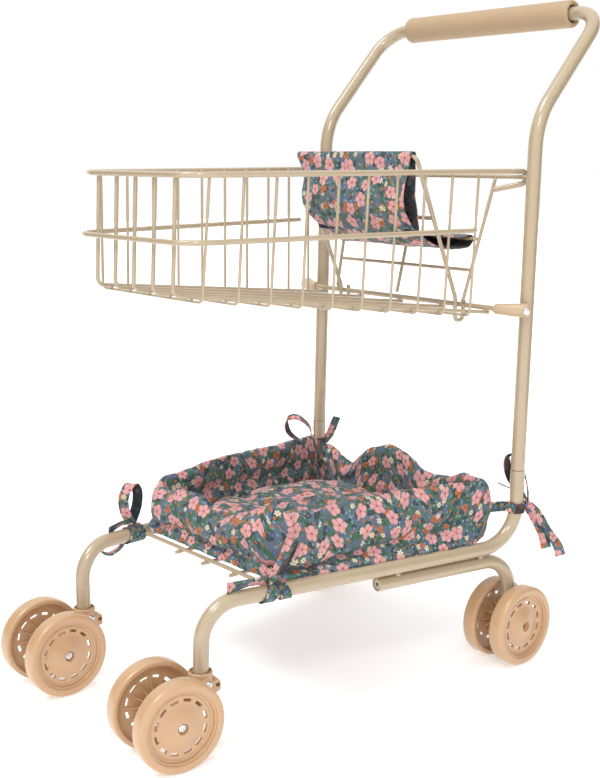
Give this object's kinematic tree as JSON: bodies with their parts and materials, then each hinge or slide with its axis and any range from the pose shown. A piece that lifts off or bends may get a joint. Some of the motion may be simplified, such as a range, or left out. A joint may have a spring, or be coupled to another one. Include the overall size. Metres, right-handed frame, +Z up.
{
  "type": "toy shopping trolley",
  "caption": "Toy shopping trolley: bent tube frame on swivel casters, tapered wire basket with a folding doll seat in a fabric sling, and a padded cloth tray on the lower rack.",
  "frame": {"origin": "centre of the bounding box, on the floor", "axes": "+Z up, -Y towards the nose (the front casters), +Y towards the push handle, +X to the pusher's left"},
  "size_m": [0.2968, 0.4822, 0.575],
  "materials": {
    "sand_paint": "gloss",
    "peach_plastic": "satin",
    "sand_plastic": "satin",
    "grip_cover": "matte",
    "bright_steel": "polished",
    "printed_cotton": "matte"
  },
  "bodies": {
    "frame": {"basket_cross_wire_1": "sand_paint", "basket_cross_wire_10": "sand_paint", "basket_cross_wire_2": "sand_paint", "basket_cross_wire_3": "sand_paint", "basket_cross_wire_4": "sand_paint", "basket_cross_wire_5": "sand_paint", "basket_cross_wire_6": "sand_paint", "basket_cross_wire_7": "sand_paint", "basket_cross_wire_8": "sand_paint", "basket_cross_wire_9": "sand_paint", "basket_long_wire_1": "sand_paint", "basket_long_wire_2": "sand_paint", "basket_long_wire_3": "sand_paint", "basket_long_wire_4": "sand_paint", "basket_long_wire_5": "sand_paint", "basket_middle_ring": "sand_paint", "basket_rear_panel": "sand_paint", "basket_top_rim": "sand_paint", "bottom_cross_bar": "sand_paint", "cross_bar_socket_left": "sand_plastic", "cross_bar_socket_right": "sand_plastic", "handle_grip": "grip_cover", "lower_frame_tube_left": "sand_paint", "lower_frame_tube_right": "sand_paint", "lower_rack": "sand_paint", "rear_leg_tube_left": "sand_paint", "rear_leg_tube_right": "sand_paint", "rear_pin_left": "bright_steel", "rear_pin_right": "bright_steel", "ribbon_tie_front_left": "printed_cotton", "ribbon_tie_front_right": "printed_cotton", "ribbon_tie_rear_left": "printed_cotton", "ribbon_tie_rear_right": "printed_cotton", "seat_sling": "printed_cotton", "socket_screw_left": "bright_steel", "socket_screw_right": "bright_steel", "top_cross_bar": "sand_paint", "tray_base_pad": "printed_cotton", "tray_front_wall": "printed_cotton", "tray_rear_wall": "printed_cotton", "tray_side_wall_left": "printed_cotton", "tray_side_wall_right": "printed_cotton", "upper_frame_tube": "sand_paint"},
    "caster_left": {"caster_fork_left": "peach_plastic", "caster_pin_left": "bright_steel", "caster_screw_left": "bright_steel"},
    "caster_right": {"caster_fork_right": "peach_plastic", "caster_pin_right": "bright_steel", "caster_screw_right": "bright_steel"},
    "front_wheel_left_a": {"front_wheel_left_a": "peach_plastic"},
    "front_wheel_left_b": {"front_wheel_left_b": "peach_plastic"},
    "front_wheel_right_a": {"front_wheel_right_a": "peach_plastic"},
    "front_wheel_right_b": {"front_wheel_right_b": "peach_plastic"},
    "rear_wheel_left_a": {"rear_wheel_left_a": "peach_plastic"},
    "rear_wheel_left_b": {"rear_wheel_left_b": "peach_plastic"},
    "rear_wheel_right_a": {"rear_wheel_right_a": "peach_plastic"},
    "rear_wheel_right_b": {"rear_wheel_right_b": "peach_plastic"},
    "seat": {"seat_frame": "sand_paint"}
  },
  "joints": [
    {"name": "seat_fold", "type": "hinge", "parent": "frame", "child": "seat", "pos_m": [0, 0.11754, 0.314], "axis": [-1, 0, 0], "range_deg": [0, 26], "deforming": ["seat_sling"]},
    {"name": "caster_swivel_left", "type": "hinge", "parent": "frame", "child": "caster_left", "pos_m": [0.0845, -0.17316, 0.05], "axis": [0, 0, 1], "continuous": true},
    {"name": "front_wheel_spin_left_a", "type": "hinge", "parent": "caster_left", "child": "front_wheel_left_a", "pos_m": [0.08074, -0.20292, 0.0351], "axis": [0.9921, -0.1253, 0], "continuous": true},
    {"name": "front_wheel_spin_left_b", "type": "hinge", "parent": "caster_left", "child": "front_wheel_left_b", "pos_m": [0.08074, -0.20292, 0.0351], "axis": [0.9921, -0.1253, 0], "continuous": true},
    {"name": "rear_wheel_spin_left_a", "type": "hinge", "parent": "frame", "child": "rear_wheel_left_a", "pos_m": [0.12656, 0.13234, 0.0351], "axis": [1, 0, 0], "continuous": true},
    {"name": "rear_wheel_spin_left_b", "type": "hinge", "parent": "frame", "child": "rear_wheel_left_b", "pos_m": [0.12656, 0.13234, 0.0351], "axis": [1, 0, 0], "continuous": true},
    {"name": "caster_swivel_right", "type": "hinge", "parent": "frame", "child": "caster_right", "pos_m": [-0.0845, -0.17316, 0.05], "axis": [0, 0, 1], "continuous": true},
    {"name": "front_wheel_spin_right_a", "type": "hinge", "parent": "caster_right", "child": "front_wheel_right_a", "pos_m": [-0.08534, -0.20315, 0.0351], "axis": [0.9996, -0.0279, 0], "continuous": true},
    {"name": "front_wheel_spin_right_b", "type": "hinge", "parent": "caster_right", "child": "front_wheel_right_b", "pos_m": [-0.08534, -0.20315, 0.0351], "axis": [0.9996, -0.0279, 0], "continuous": true},
    {"name": "rear_wheel_spin_right_a", "type": "hinge", "parent": "frame", "child": "rear_wheel_right_a", "pos_m": [-0.12656, 0.13234, 0.0351], "axis": [1, 0, 0], "continuous": true},
    {"name": "rear_wheel_spin_right_b", "type": "hinge", "parent": "frame", "child": "rear_wheel_right_b", "pos_m": [-0.12656, 0.13234, 0.0351], "axis": [1, 0, 0], "continuous": true}
  ]
}
